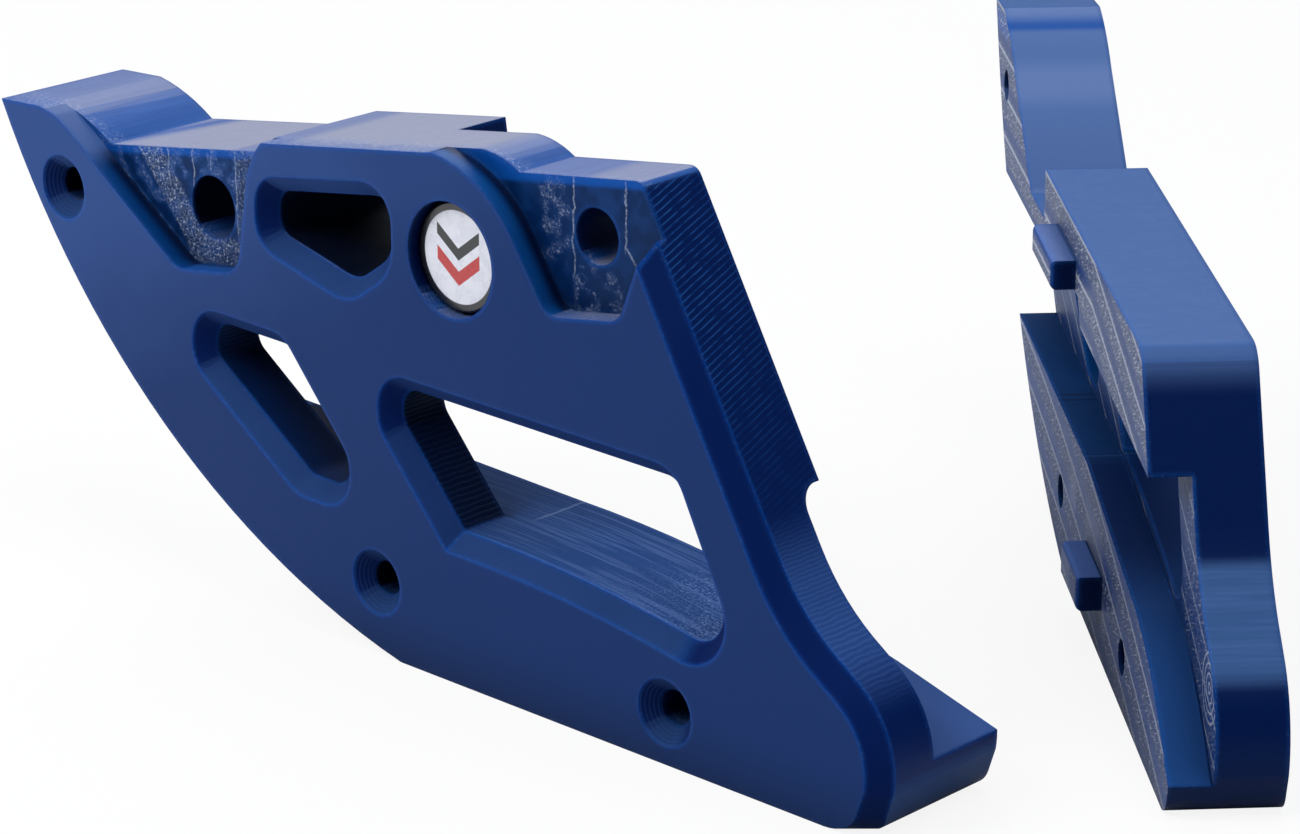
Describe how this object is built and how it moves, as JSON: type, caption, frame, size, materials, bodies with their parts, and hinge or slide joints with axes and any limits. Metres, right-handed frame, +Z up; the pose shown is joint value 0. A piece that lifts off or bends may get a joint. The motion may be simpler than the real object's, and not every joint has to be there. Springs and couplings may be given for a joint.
{
  "type": "motorcycle chain guide",
  "caption": "Chain guide of two machined plastic halves, shown apart: an outer half with windows, bolt recesses and a round badge, and a plainer inner half.",
  "frame": {"origin": "middle of the pair's bounding box, on the flat surface that both halves stand on", "axes": "+X along the outer half from its front tip towards the wheel, +Z up, +Y from the outer half's face through its depth. The inner half stands beside it, turned 43 degrees about Z."},
  "size_m": [0.2664, 0.207, 0.1008],
  "materials": {
    "outer_half": "machined deep blue plastic with cutter marks",
    "inner_half": "machined deep blue plastic with cutter marks",
    "badge_disc": "printed whitish face with a black rim and a red accent"
  },
  "bodies": {
    "root": {"outer_half": "outer_half", "inner_half": "inner_half", "badge_disc": "badge_disc"}
  },
  "joints": []
}
